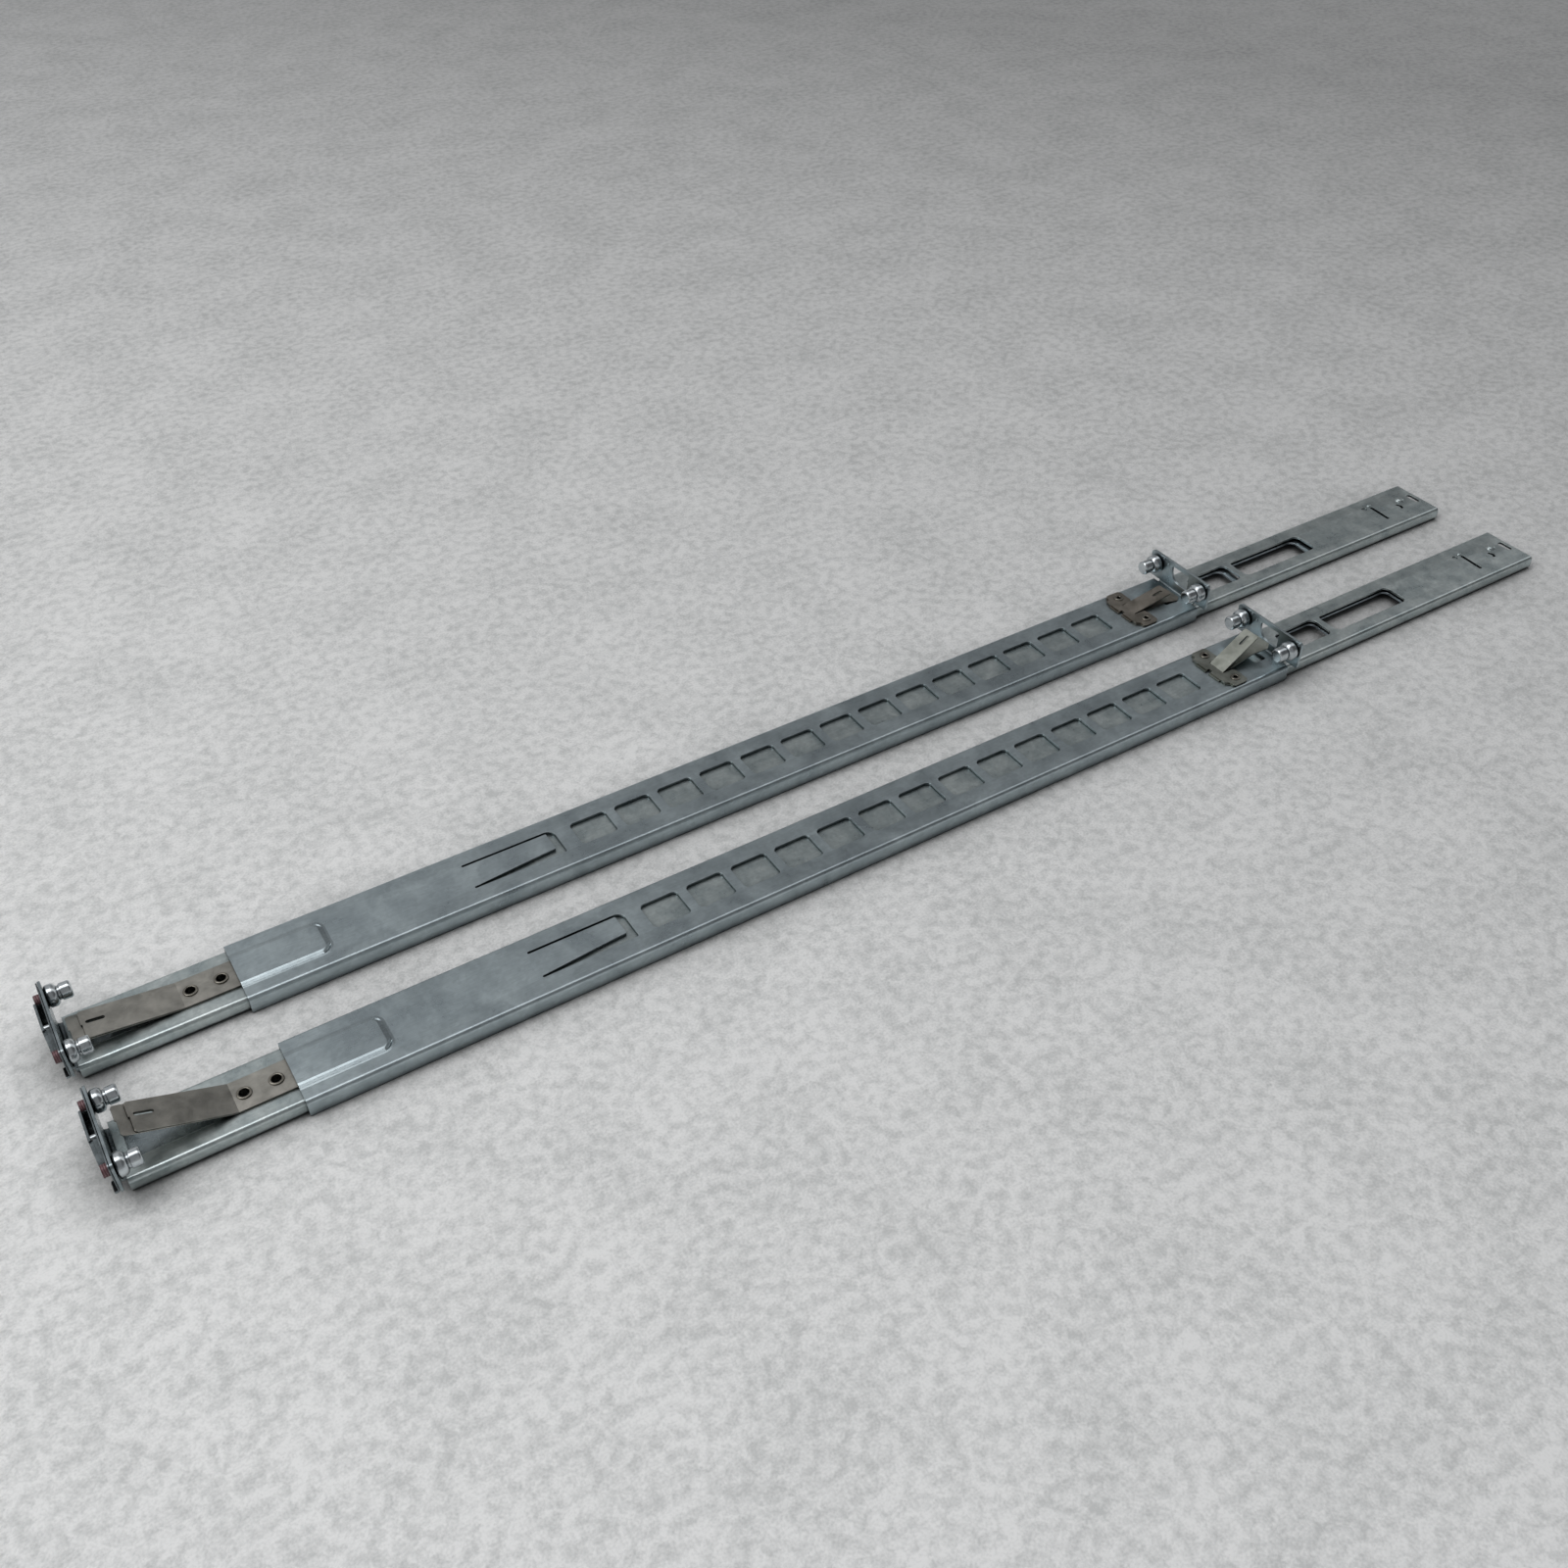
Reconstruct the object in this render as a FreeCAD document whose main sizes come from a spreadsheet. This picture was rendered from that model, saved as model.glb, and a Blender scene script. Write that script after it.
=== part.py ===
import FreeCAD, Part
import math
import os
import Sketcher

# A pair of sliding server rails, lying web up. +X runs from the front of the rack to the rear,
# +Y across the pair, +Z up. Each rail is built in its own frame: x = 0 at the rear face of the
# front flange, y = 0 on the rail's centre line, z = 0 at the surface that it lies on.

doc = FreeCAD.newDocument("server_rail_pair")

# Driving sizes in millimetres and degrees.
sizes = {
    # the pair
    "rail_spacing": 60.0,
    "right_rail_offset": 2.6,
    # outer member: a shallow rolled channel with ball races in its walls
    "channel_width": 30.4,
    "channel_height": 6.6,
    "channel_gauge": 1.1,
    "channel_bend": 1.8,
    "channel_lip": 3.0,
    "channel_front": 1.8,
    "channel_rear": 731.2,
    # slit, slots and lances at the rear end of the outer member
    "slit_front": 699.75,
    "slit_rear": 701.65,
    "slit_right": -7.6,
    "slit_left": 6.0,
    "slit_skew": 0.4,
    "slit_corner": 0.7,
    "slit_lance_x": 701.3,
    "slit_lance_y": 7.7,
    "slit_lance_radius": 1.5,
    "dent_x": 696.5,
    "dent_y": 6.3,
    "dent_radius": 1.5,
    "slit_lance_rise": 0.7,
    "stop_slot_front": 714.2,
    "stop_slot_width": 1.8,
    "stop_slot_right": -4.0,
    "stop_slot_left": 0.4,
    "stop_slot_bow": 1.0,
    "stop_lance_x": 720.2,
    "stop_lance_y": 3.0,
    "stop_lance_radius": 2.8,
    "stop_lance_rise": 1.1,
    "end_slot_front": 726.3,
    "end_slot_rear": 729.3,
    "end_slot_right": -3.8,
    "end_slot_left": 4.2,
    "end_slot_corner": 1.3,
    # windows near the rear end of both nested members
    "small_window_front": 566.0,
    "small_window_rear": 592.7,
    "long_window_front": 596.2,
    "long_window_rear": 645.4,
    "rear_window_width": 14.2,
    "rear_window_corner": 3.0,
    # intermediate member: a smaller channel nested inside the outer one
    "middle_width": 23.2,
    "middle_top": 4.15,
    "middle_foot": 0.5,
    "middle_gauge": 1.0,
    "middle_bend": 1.6,
    "middle_lip": 2.4,
    "middle_front": 3.5,
    "middle_rear": 727.3,
    "left_middle_shift": 3.0,
    "right_middle_shift": 0.0,
    # ball cage and balls
    "ball_radius": 1.2,
    "ball_height": 2.5,
    "ball_row": 12.85,
    "ball_first": 345.0,
    "ball_step": 34.0,
    "cage_front": 335.0,
    "cage_rear": 525.0,
    "cage_gauge": 0.4,
    "cage_top": 5.0,
    "cage_foot": 1.35,
    "cage_hole_radius": 1.3,
    # two rubber stops in the corners at the rear end of the outer member
    "bumper_length": 3.0,
    "bumper_inner": 9.2,
    "bumper_outer": 13.3,
    "bumper_foot": 1.3,
    "bumper_setback": 0.5,
    # sleeve with its rear flange, one stamping
    "sleeve_gauge": 1.2,
    "sleeve_gap": 0.2,
    "sleeve_side_gap": 0.5,
    "sleeve_bend": 1.8,
    "sleeve_foot": 0.4,
    "sleeve_front": 65.3,
    "sleeve_rear": 552.4,
    "crimp_grip": 0.25,
    "crimp_thickness": 0.35,
    "window_first": 221.4,
    "window_step": 21.24,
    "window_length": 17.1,
    "window_width": 14.55,
    "window_corner": 2.2,
    "pad_rear": 102.4,
    "pad_half_width": 9.3,
    "pad_cut": 3.9,
    "pad_rise": 0.8,
    "tongue_front": 163.6,
    "tongue_rear": 205.5,
    "tongue_left": 8.3,
    "tongue_right": 7.4,
    "tongue_tip": 202.0,
    "tongue_slot": 1.2,
    "latch_window_front": 541.0,
    "latch_window_length": 7.0,
    "latch_window_width": 12.4,
    "latch_window_corner": 0.8,
    "rivet_radius": 1.6,
    # flanges and studs at both ends
    "flange_top": 23.0,
    "flange_width": 42.0,
    "flange_corner": 2.0,
    "flange_foot": 8.3,
    "neck_width": 25.0,
    "flange_window_right": 6.6,
    "flange_window_left": 5.3,
    "flange_window_low": 12.4,
    "flange_window_high": 20.8,
    "flange_window_round": 6.0,
    "bracket_gauge": 1.0,
    "bracket_bend": 2.0,
    "bracket_rear": 66.0,
    "stud_spacing": 31.75,
    "stud_level": 17.3,
    "stud_shoulder_radius": 4.6,
    "stud_shoulder_length": 4.4,
    "stud_waist_radius": 2.9,
    "stud_waist_length": 0.8,
    "stud_tip_radius": 3.45,
    "stud_tip_length": 4.2,
    "stud_hole_radius": 2.3,
    "stud_tail_clearance": 0.02,
    "front_tail_length": 2.6,
    "rear_tail_length": 0.9,
    "rear_stud_length": 10.5,
    # catch plate in front of the front flange, with its hook, roofed shelf, lip and pin
    "catch_gauge": 0.5,
    "catch_gap": 0.25,
    "catch_boss_radius": 3.6,
    "catch_reach": 5.0,
    "catch_taper": 0.6,
    "catch_left": 13.4,
    "catch_right": 13.6,
    "catch_middle": 1.7,
    "catch_wall": 0.9,
    "catch_low": 11.5,
    "catch_high": 18.6,
    "catch_step_depth": 0.7,
    "catch_step_width": 1.5,
    "catch_lip_reach": 1.3,
    "catch_lip_right": 15.5,
    "catch_pin_radius": 1.4,
    "catch_pin_y": 0.2,
    "catch_pin_level": 17.0,
    # front latch
    "front_latch_hinge": 43.5,
    "latch_gauge": 0.45,
    "front_leaf_width": 15.0,
    "front_lower_leaf": 40.7,
    "front_top_leaf": 36.2,
    "front_latch_rear": 72.0,
    "front_leaf_spread": 0.6,
    "front_leaf_jog": 0.5,
    "front_slot_tip": 34.4,
    "front_slot_root": 27.4,
    "front_slot_right": 0.15,
    "front_slot_width": 1.7,
    "eyelet_first": 47.6,
    "eyelet_step": 12.0,
    "eyelet_radius": 2.3,
    "eyelet_bore": 1.9,
    "eyelet_head": 2.9,
    "eyelet_rise": 0.6,
    "left_front_latch_lift": 7.0,
    "right_front_latch_lift": 20.0,
    "front_window_front": 5.3,
    "front_window_rear": 37.0,
    "front_window_width": 13.0,
    # rear latch
    "rear_plate_front": 516.5,
    "rear_plate_rear": 528.0,
    "rear_plate_width": 30.0,
    "rear_plate_gauge": 0.6,
    "rear_leaf_width": 8.8,
    "rear_leaf_slit": 0.5,
    "rear_top_hinge": 521.4,
    "rear_top_leaf": 23.8,
    "rear_lower_hinge": 522.6,
    "rear_lower_leaf": 28.0,
    "rear_flare_width": 13.0,
    "rear_rivet_along": 523.7,
    "rear_rivet_across": 10.4,
    "left_rear_latch_lift": 9.0,
    "right_rear_latch_lift": 33.0,
    "left_rear_leaf_lift": 0.0,
    "right_rear_leaf_lift": 13.6,
}

# Sizes that follow from the driving ones.
derived = {
    "channel_half": "channel_width / 2",
    "web_under": "channel_height - channel_gauge",
    "middle_half": "middle_width / 2",
    "sleeve_under": "channel_height + sleeve_gap",
    "sleeve_top": "sleeve_under + sleeve_gauge",
    "sleeve_inner": "channel_half + sleeve_side_gap",
    "sleeve_half": "sleeve_inner + sleeve_gauge",
    "flange_half": "flange_width / 2",
    "rear_flange_front": "sleeve_rear + 0.8",
    "rear_flange_rear": "rear_flange_front + sleeve_gauge",
    "stud_tail_radius": "stud_hole_radius - stud_tail_clearance",
    "catch_back": "bracket_gauge + catch_gap + catch_gauge",
    "latch_stack": "channel_height + 2 * latch_gauge",
    "rear_lower_top": "sleeve_top + rear_plate_gauge",
    "rear_upper_top": "sleeve_top + 2 * rear_plate_gauge",
    "left_rail_x": "(catch_reach - channel_rear - right_rail_offset) / 2",
    "right_rail_x": "left_rail_x + right_rail_offset",
    "left_rail_y": "rail_spacing / 2",
    "right_rail_y": "-rail_spacing / 2",
}

sheet = doc.addObject("Spreadsheet::Sheet", "dims")
row = 1
for name, number in sizes.items():
    sheet.set("A%d" % row, name)
    sheet.set("B%d" % row, str(number))
    sheet.setAlias("B%d" % row, name)
    row += 1
for name, formula in derived.items():
    sheet.set("A%d" % row, name)
    sheet.set("B%d" % row, "=" + formula)
    sheet.setAlias("B%d" % row, name)
    row += 1
doc.recompute()
names = list(sizes) + list(derived)
scratchCell = "D1"


def linked(formula):
    """A formula in the sheet's names, as an expression that other objects can hold."""
    words = ""
    result = ""
    for letter in formula + " ":
        if letter.isalnum() or letter == "_":
            words += letter
            continue
        result += "dims." + words if words in names else words
        words = ""
        result += letter
    return result.strip()


def worth(formula):
    """The number that a formula comes to, worked out by the sheet."""
    sheet.set(scratchCell, "=" + formula)
    sheet.recompute()
    found = sheet.get(scratchCell)
    return float(getattr(found, "Value", found))


def bind(item, prop, formula):
    item.setExpression(prop, linked(formula))


def body(side, name, x="0", z="0", lift=None):
    """A body of one rail; lift turns it about the rail's cross axis."""
    made = doc.addObject("PartDesign::Body", side + "_" + name)
    made.Label = side + "_" + name
    made.AllowCompound = True
    if lift:
        made.Placement = FreeCAD.Placement(FreeCAD.Vector(0, 0, 0), FreeCAD.Rotation(FreeCAD.Vector(0, 1, 0), 1))
        bind(made, "Placement.Rotation.Angle", lift)
    bind(made, "Placement.Base.x", side + "_rail_x + " + x)
    bind(made, "Placement.Base.y", side + "_rail_y")
    bind(made, "Placement.Base.z", z)
    return made


def origin(owner, role):
    return [item for item in owner.Origin.OriginFeatures if item.Role == role][0]


def sketch(owner, name, plane, height="0"):
    """A sketch on one of the body's own planes, raised along the plane's normal."""
    made = owner.newObject("Sketcher::SketchObject", name)
    made.AttachmentSupport = (origin(owner, plane), [""])
    made.MapMode = "FlatFace"
    if height != "0":
        bind(made, "AttachmentOffset.Base.z", height)
    return made


def outline(target, corners):
    """A closed outline through corners given as (across, up) or (across, up, radius)."""
    count = len(corners)
    points = [FreeCAD.Vector(worth(corner[0]), worth(corner[1]), 0) for corner in corners]
    radii = [corner[2] if len(corner) > 2 else None for corner in corners]
    setbacks = []
    halves = []
    for index in range(count):
        before = (points[index - 1] - points[index]).normalize()
        after = (points[(index + 1) % count] - points[index]).normalize()
        half = before.getAngle(after) / 2
        halves.append((before + after, half))
        setbacks.append(worth(radii[index]) / math.tan(half) if radii[index] else 0.0)
    lines = []
    for index in range(count):
        here = points[index]
        there = points[(index + 1) % count]
        way = (there - here).normalize()
        start = here + way * setbacks[index]
        end = there - way * setbacks[(index + 1) % count]
        lines.append(target.addGeometry(Part.LineSegment(start, end), False))
    for index in range(count):
        last = lines[index - 1]
        line = lines[index]
        if radii[index]:
            radius = worth(radii[index])
            middle, half = halves[index]
            middle = FreeCAD.Vector(middle).normalize()
            centre = points[index] + middle * (radius / math.sin(half))
            entry = target.getPoint(last, 2)
            arc = target.addGeometry(Part.Arc(entry, centre - middle * radius, target.getPoint(line, 1)), False)
            corner = target.addGeometry(Part.Point(points[index]), True)
            first = 1 if (target.getPoint(arc, 1) - entry).Length < 1e-6 else 2
            target.addConstraint(Sketcher.Constraint("Tangent", last, 2, arc, first))
            target.addConstraint(Sketcher.Constraint("Tangent", line, 1, arc, 3 - first))
            target.addConstraint(Sketcher.Constraint("PointOnObject", corner, 1, last))
            target.addConstraint(Sketcher.Constraint("PointOnObject", corner, 1, line))
            held = target.addConstraint(Sketcher.Constraint("Radius", arc, radius))
            bind(target, "Constraints[%d]" % held, radii[index])
            anchor = corner
        else:
            target.addConstraint(Sketcher.Constraint("Coincident", last, 2, line, 1))
            anchor = line
        place(target, anchor, 1, corners[index], points[index])


def place(target, item, end, corner, point):
    """Hold a point at its two coordinates."""
    for kind, formula, number in (("DistanceX", corner[0], point.x), ("DistanceY", corner[1], point.y)):
        held = target.addConstraint(Sketcher.Constraint(kind, -1, 1, item, end, number))
        bind(target, "Constraints[%d]" % held, formula)


def disc(target, across, up, radius):
    """A circle held by its centre and radius."""
    centre = FreeCAD.Vector(worth(across), worth(up), 0)
    ring = target.addGeometry(Part.Circle(centre, FreeCAD.Vector(0, 0, 1), worth(radius)), False)
    place(target, ring, 3, (across, up), centre)
    held = target.addConstraint(Sketcher.Constraint("Radius", ring, worth(radius)))
    bind(target, "Constraints[%d]" % held, radius)


def box(x0, x1, y0, y1, radius=None):
    """The four corners of a rectangle, all with one radius."""
    corners = [(x0, y0), (x1, y0), (x1, y1), (x0, y1)]
    return [corner + (radius,) for corner in corners] if radius else corners


def pad(owner, name, profile, length, both=False, taper=0):
    made = owner.newObject("PartDesign::Pad", name)
    made.Profile = profile
    made.Midplane = both
    made.TaperAngle = taper
    bind(made, "Length", length)
    return made


def pocket(owner, name, profile, length, up=True, taper=0):
    """Cut a profile away, along its sketch's normal when up is true."""
    made = owner.newObject("PartDesign::Pocket", name)
    made.Profile = profile
    made.Reversed = up
    made.TaperAngle = taper
    bind(made, "Length", length)
    return made


def plate(owner, name, corners, low, thickness, holes=()):
    """A flat plate over an outline in plan, with round holes."""
    shape = sketch(owner, name + "_outline", "XY_Plane", low)
    outline(shape, corners)
    for across, up, radius in holes:
        disc(shape, across, up, radius)
    return pad(owner, name, shape, thickness)


def cut(owner, name, corners, low, depth):
    """Cut an outline in plan upwards from a height."""
    shape = sketch(owner, name + "_outline", "XY_Plane", low)
    outline(shape, corners)
    return pocket(owner, name, shape, depth)


def drill(owner, name, spots, radius, low, depth):
    """Cut round holes upwards from a height."""
    shape = sketch(owner, name + "_outline", "XY_Plane", low)
    for across, up in spots:
        disc(shape, across, up, radius)
    return pocket(owner, name, shape, depth)


def repeat(owner, name, feature, step, count):
    made = owner.newObject("PartDesign::LinearPattern", name)
    made.Originals = [feature]
    made.Direction = (origin(owner, "X_Axis"), [""])
    bind(made, "Length", "%d * %s" % (count - 1, step))
    made.Occurrences = count
    owner.Tip = made
    return made


def mirrored(owner, name, feature):
    """Repeat a feature on the other side of the rail's centre plane."""
    made = owner.newObject("PartDesign::Mirrored", name)
    made.Originals = [feature]
    made.MirrorPlane = (origin(owner, "XZ_Plane"), [""])
    owner.Tip = made
    return made


def spin(owner, name, profile, axis):
    """Turn a profile fully about one axis of its own sketch."""
    made = owner.newObject("PartDesign::Revolution", name)
    made.Profile = profile
    made.ReferenceAxis = (profile, [axis])
    made.Angle = 360
    return made


def channelOutline(half, low, high, gauge, bend, lip):
    """A C-section, open downwards, with its lips turned in."""
    inside = "(%s - %s)" % (half, gauge)
    lipEdge = "(%s - %s)" % (half, lip)
    inner = "%s - %s" % (bend, gauge)
    sole = "%s + %s" % (low, gauge)
    ceiling = "%s - %s" % (high, gauge)
    outside = [(lipEdge, low), (half, low, bend), (half, high, bend)]
    outside += [("-" + half, high, bend), ("-" + half, low, bend), ("-" + lipEdge, low)]
    within = [("-" + lipEdge, sole), ("-" + inside, sole, inner), ("-" + inside, ceiling, inner)]
    within += [(inside, ceiling, inner), (inside, sole, inner), (lipEdge, sole)]
    return outside + within


def windows(owner, low, depth):
    """The two windows near the rear end of a nested member."""
    half = "rear_window_width / 2"
    for name, front, rear in (("small_window", "small_window_front", "small_window_rear"),
                              ("long_window", "long_window_front", "long_window_rear")):
        cut(owner, name, box(front, rear, "-" + half, half, "rear_window_corner"), low, depth)


def eyeletHoles(owner, low, depth):
    spots = [("eyelet_first", "0"), ("eyelet_first + eyelet_step", "0")]
    drill(owner, "eyelet_holes", spots, "eyelet_radius", low, depth)


def studHoles(face, radius="stud_hole_radius"):
    """Two circles, one for each stud of a flange."""
    for across in ("stud_spacing / 2", "-stud_spacing / 2"):
        disc(face, across, "stud_level", radius)


def outerMember(side):
    owner = body(side, "outer_member")
    section = sketch(owner, "section", "YZ_Plane", "channel_front")
    outline(section, channelOutline("channel_half", "0", "channel_height", "channel_gauge",
                                    "channel_bend", "channel_lip"))
    pad(owner, "strip", section, "channel_rear - channel_front")
    depth = "channel_gauge + 0.5"
    windows(owner, "web_under - 0.2", depth)
    half = "front_window_width / 2"
    cut(owner, "front_window", box("front_window_front", "front_window_rear", "-" + half, half, "1.5"),
        "web_under - 0.2", depth)
    eyeletHoles(owner, "web_under - 0.2", depth)
    cut(owner, "slit", [("slit_front - slit_skew", "slit_right", "slit_corner"),
                        ("slit_rear - slit_skew", "slit_right", "slit_corner"),
                        ("slit_rear + slit_skew", "slit_left", "slit_corner"),
                        ("slit_front + slit_skew", "slit_left", "slit_corner")], "web_under - 0.2", depth)
    bump(owner, "slit_lance", "slit_lance_x", "slit_lance_y", "slit_lance_radius", "slit_lance_rise")
    dent = sketch(owner, "dent_outline", "XY_Plane", "channel_height - 0.4")
    disc(dent, "dent_x", "dent_y", "dent_radius")
    pocket(owner, "dent", dent, "0.6")
    bump(owner, "stop_lance", "stop_lance_x", "stop_lance_y", "stop_lance_radius", "stop_lance_rise")
    back = "stop_slot_front + stop_slot_width"
    middle = "(stop_slot_right + stop_slot_left) / 2"
    cut(owner, "stop_slot", [("stop_slot_front", "stop_slot_right", "0.3"), (back, "stop_slot_right", "0.3"),
                             (back + " + stop_slot_bow", middle), (back, "stop_slot_left", "0.3"),
                             ("stop_slot_front", "stop_slot_left", "0.3"), ("stop_slot_front + stop_slot_bow", middle)],
        "web_under - 0.2", depth)
    cut(owner, "end_slot", box("end_slot_front", "end_slot_rear", "end_slot_right", "end_slot_left", "end_slot_corner"),
        "web_under - 0.2", depth)
    return owner


def bump(owner, name, x, y, radius, rise):
    """A small embossed dome on the web: a steep foot and a flatter crown."""
    shape = sketch(owner, name + "_outline", "XY_Plane", "channel_height - 0.2")
    disc(shape, x, y, radius)
    pad(owner, name, shape, "0.6 * %s + 0.2" % rise, taper=-35)
    crown = sketch(owner, name + "_crown_outline", "XY_Plane", "channel_height + 0.6 * %s - 0.05" % rise)
    disc(crown, x, y, "%s - 0.5 * %s" % (radius, rise))
    pad(owner, name + "_crown", crown, "0.4 * " + rise, taper=-62)


def middleMember(side):
    owner = body(side, "intermediate_member", "(-%s_middle_shift)" % side)
    section = sketch(owner, "section", "YZ_Plane", "middle_front")
    outline(section, channelOutline("middle_half", "middle_foot", "middle_top", "middle_gauge",
                                    "middle_bend", "middle_lip"))
    pad(owner, "strip", section, "middle_rear - middle_front")
    windows(owner, "middle_top - middle_gauge - 0.2", "middle_gauge + 0.5")
    return owner


def ballCage(side):
    shift = "(-%s_middle_shift / 2)" % side
    owner = body(side, "ball_cage", shift)
    outer = "(ball_row + cage_gauge / 2)"
    inner = "(ball_row - cage_gauge / 2)"
    section = sketch(owner, "section", "YZ_Plane", "cage_front")
    outline(section, [(outer, "cage_foot"), (outer, "cage_top", "0.8"), ("-" + outer, "cage_top", "0.8"),
                      ("-" + outer, "cage_foot"), ("-" + inner, "cage_foot"),
                      ("-" + inner, "cage_top - cage_gauge", "0.4"), (inner, "cage_top - cage_gauge", "0.4"),
                      (inner, "cage_foot")])
    pad(owner, "strip", section, "cage_rear - cage_front")
    hole = sketch(owner, "ball_hole_outline", "XZ_Plane", "-ball_row - 1")
    disc(hole, "ball_first", "ball_height", "cage_hole_radius")
    first = pocket(owner, "ball_hole", hole, "2 * ball_row + 2")
    repeat(owner, "ball_holes", first, "ball_step", 6)
    return owner


def balls(side):
    """The two rows of balls, one node of separate solids."""
    made = []
    for row in (1, -1):
        for index in range(6):
            ball = doc.addObject("Part::Sphere", side + "_ball")
            bind(ball, "Radius", "ball_radius")
            along = "%s_rail_x - %s_middle_shift / 2 + ball_first + %d * ball_step" % (side, side, index)
            bind(ball, "Placement.Base.x", along)
            bind(ball, "Placement.Base.y", "%s_rail_y + %d * ball_row" % (side, row))
            bind(ball, "Placement.Base.z", "ball_height")
            made.append(ball)
    group = doc.addObject("Part::Compound", side + "_bearing_balls")
    group.Label = side + "_bearing_balls"
    group.Links = made
    return group


def rearBumper(side):
    """Two rubber blocks between web and lips, one in each corner of the outer member."""
    owner = body(side, "rear_bumper")
    rear = "(channel_rear - bumper_setback)"
    front = "(%s - bumper_length)" % rear
    block = plate(owner, "block", box(front, rear, "bumper_inner", "bumper_outer", "0.6"),
                  "bumper_foot", "web_under - bumper_foot")
    mirrored(owner, "blocks", block)
    return owner


def sleeve(side):
    owner = body(side, "sleeve")
    section = sketch(owner, "section", "YZ_Plane", "sleeve_front")
    inner = "sleeve_bend - sleeve_gauge"
    nib = "(channel_half - crimp_grip)"
    nibTop = "sleeve_foot + crimp_thickness"
    outline(section, [(nib, "sleeve_foot"), ("sleeve_half", "sleeve_foot"), ("sleeve_half", "sleeve_top", "sleeve_bend"),
                      ("-sleeve_half", "sleeve_top", "sleeve_bend"), ("-sleeve_half", "sleeve_foot"),
                      ("-" + nib, "sleeve_foot"), ("-" + nib, nibTop), ("-sleeve_inner", nibTop),
                      ("-sleeve_inner", "sleeve_under", inner), ("sleeve_inner", "sleeve_under", inner),
                      ("sleeve_inner", nibTop), (nib, nibTop)])
    pad(owner, "strip", section, "sleeve_rear - sleeve_front")
    padded = [("sleeve_front - 3", "-pad_half_width"), ("pad_rear - pad_cut", "-pad_half_width"),
              ("pad_rear", "pad_cut - pad_half_width"), ("pad_rear", "pad_half_width - pad_cut"),
              ("pad_rear - pad_cut", "pad_half_width"), ("sleeve_front - 3", "pad_half_width")]
    raised = sketch(owner, "pad_top_outline", "XY_Plane", "sleeve_top - 0.1")
    outline(raised, padded)
    pad(owner, "pad_top", raised, "pad_rise + 0.1", taper=-40)
    hollow = sketch(owner, "pad_hollow_outline", "XY_Plane", "sleeve_under - 0.1")
    outline(hollow, padded)
    pocket(owner, "pad_hollow", hollow, "pad_rise + 0.1", taper=-40)
    cut(owner, "pad_trim", box("sleeve_front - 8", "sleeve_front", "-sleeve_half - 1", "sleeve_half + 1"),
        "sleeve_under - 1", "6")
    first = cut(owner, "window", box("window_first - window_length / 2", "window_first + window_length / 2",
                                     "-window_width / 2", "window_width / 2", "window_corner"),
                "sleeve_under - 0.1", "sleeve_gauge + 0.3")
    repeat(owner, "windows", first, "window_step", 14)
    slot = "(tongue_left - tongue_slot)"
    cut(owner, "tongue_slot", [("tongue_front", slot, "0.5"), ("tongue_tip", slot, "0.4"), ("tongue_tip", "-3.3", "0.6"),
                               ("196", "-3.6", "1.5"), ("tongue_front", "1 - tongue_right"),
                               ("tongue_front", "-tongue_right", "0.4"),
                               ("tongue_rear", "-tongue_right", "0.8"), ("tongue_rear", "tongue_left", "4"),
                               ("tongue_front", "tongue_left", "0.5")],
        "sleeve_under - 0.1", "sleeve_gauge + 0.3")
    half = "latch_window_width / 2"
    cut(owner, "latch_window", box("latch_window_front", "latch_window_front + latch_window_length",
                                   "-" + half, half, "latch_window_corner"),
        "sleeve_under - 0.1", "sleeve_gauge + 0.3")
    spots = [("rear_rivet_along", "rear_rivet_across"), ("rear_rivet_along", "-rear_rivet_across")]
    drill(owner, "rivet_holes", spots, "rivet_radius", "sleeve_under - 0.1", "sleeve_gauge + 0.3")
    turn = sketch(owner, "bend_outline", "XZ_Plane")
    outline(turn, [("sleeve_rear - 2", "sleeve_under"), ("rear_flange_rear", "sleeve_under", "sleeve_gauge + 0.8"),
                   ("rear_flange_rear", "flange_foot + 3"), ("rear_flange_front", "flange_foot + 3"),
                   ("rear_flange_front", "sleeve_top", "0.8"), ("sleeve_rear - 2", "sleeve_top")])
    pad(owner, "bend", turn, "neck_width", both=True)
    face = sketch(owner, "flange_outline", "YZ_Plane", "rear_flange_front")
    wide = "(flange_half - 0.2)"
    outline(face, [("-" + wide, "flange_foot + 0.6", "1"), (wide, "flange_foot + 0.6", "1"),
                   (wide, "flange_top", "flange_corner"), ("-" + wide, "flange_top", "flange_corner")])
    outline(face, [("-flange_window_right", "flange_window_low", "1"),
                   ("flange_window_left", "flange_window_low", "flange_window_round"),
                   ("flange_window_left", "flange_window_high", "1"),
                   ("-flange_window_right", "flange_window_high", "1")])
    studHoles(face)
    pad(owner, "flange", face, "sleeve_gauge")
    nubs = sketch(owner, "nub_outline", "YZ_Plane", "rear_flange_front - 0.4")
    for across, up in (("8.3", "20"), ("11.6", "21.8"), ("-19", "21.6")):
        disc(nubs, across, up, "0.75")
    pad(owner, "nubs", nubs, "0.6")
    return owner


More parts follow.
